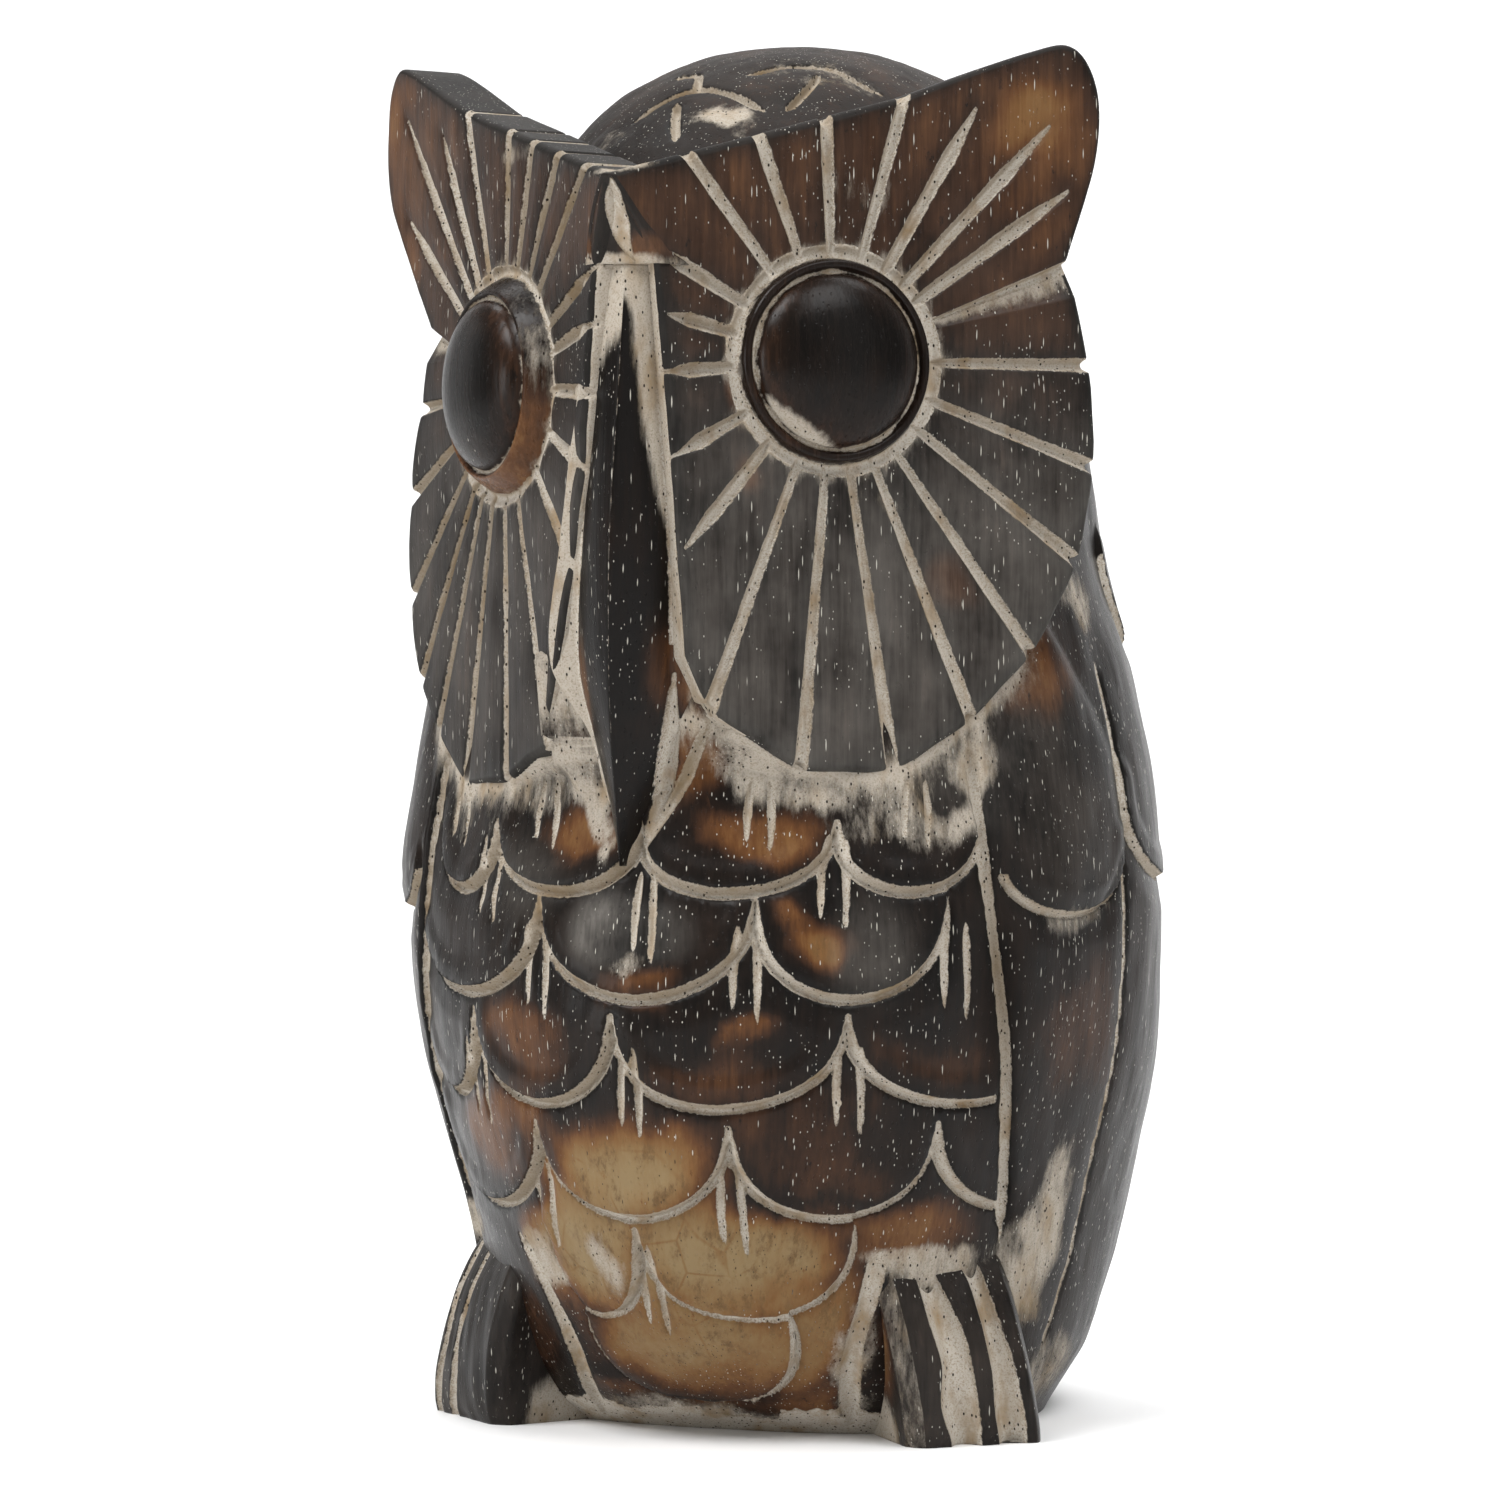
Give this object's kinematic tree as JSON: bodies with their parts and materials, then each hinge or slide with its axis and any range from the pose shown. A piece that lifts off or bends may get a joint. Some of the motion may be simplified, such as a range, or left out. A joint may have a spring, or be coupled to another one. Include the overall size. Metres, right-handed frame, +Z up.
{
  "type": "carved wooden owl",
  "caption": "Carved wooden owl, standing upright on a flat base, with a two-plane face, domed eyes, a long beak, scale feathers, folded wings and toed feet.",
  "frame": {"origin": "on the ground under the middle of the whole piece's box", "axes": "+Z up along the bird's height, -Y towards the front corner where the two face plates meet, +X towards the owl's left wing, which is on the viewer's right"},
  "size_m": [0.1672, 0.1778, 0.305],
  "materials": {
    "dark_wood": "dark stained and scorched wood, satin, with pale paint rubbed into the cuts"
  },
  "bodies": {
    "root": {"owl": "dark_wood"}
  },
  "joints": []
}
